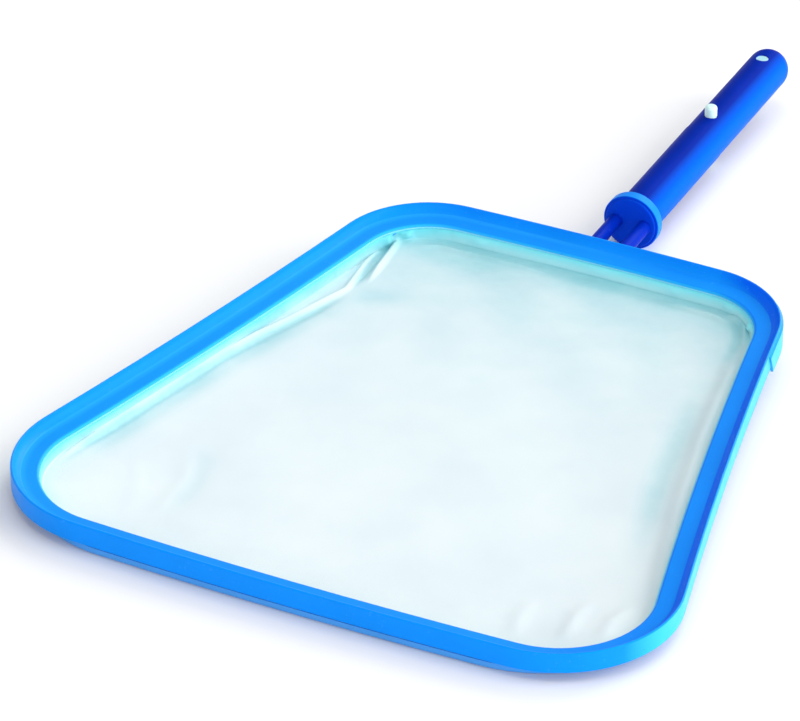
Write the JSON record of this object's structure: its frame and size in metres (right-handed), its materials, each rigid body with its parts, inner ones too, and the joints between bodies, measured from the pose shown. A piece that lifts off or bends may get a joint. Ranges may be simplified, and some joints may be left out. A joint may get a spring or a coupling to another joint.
{
  "type": "leaf skimmer net",
  "caption": "Shallow mesh tray in a rounded trapezoid rim, on a forked neck with a hollow spigot whose sprung buttons lock into a pole.",
  "frame": {"origin": "on the handle's axis, at the face of the collar that the pole stops against", "axes": "+Y along the handle, away from the net; +Z out of the net's mouth; X across the net"},
  "size_m": [0.4054, 0.702, 0.0414],
  "materials": {
    "rim_blue": "satin",
    "ring_blue": "satin",
    "net_mesh": "fine open weave",
    "hem_tape": "woven tape",
    "screw_steel": "brushed",
    "bracket_blue": "satin",
    "prong_blue": "satin",
    "collar_blue": "satin",
    "handle_blue": "satin",
    "spring_steel": "brushed",
    "button_white": "gloss",
    "peg_white": "satin"
  },
  "bodies": {
    "skimmer": {"upper_rim": "rim_blue", "clamp_ring": "ring_blue", "net_hem": "hem_tape", "net": "net_mesh", "ring_screws": "screw_steel", "rear_bracket": "bracket_blue", "bracket_screws": "screw_steel", "prong_screws": "screw_steel", "left_prong": "prong_blue", "right_prong": "prong_blue", "collar": "collar_blue", "collar_pins": "screw_steel", "handle_tube": "handle_blue", "tube_screw": "screw_steel", "anchor_peg": "peg_white", "v_spring": "spring_steel"},
    "upper_button_body": {"upper_button": "button_white", "upper_rivet": "screw_steel"},
    "lower_button_body": {"lower_button": "button_white", "lower_rivet": "screw_steel"}
  },
  "joints": [
    {"name": "upper_button_press", "type": "slide", "parent": "skimmer", "child": "upper_button_body", "axis": [0, 0, 1], "range_m": [-0.007, 0], "stiffness_N_per_m": 600, "springref_m": 0.002, "deforming": ["v_spring"]},
    {"name": "lower_button_press", "type": "slide", "parent": "skimmer", "child": "lower_button_body", "axis": [0, 0, -1], "range_m": [-0.007, 0], "stiffness_N_per_m": 600, "springref_m": 0.002, "deforming": ["v_spring"]}
  ]
}
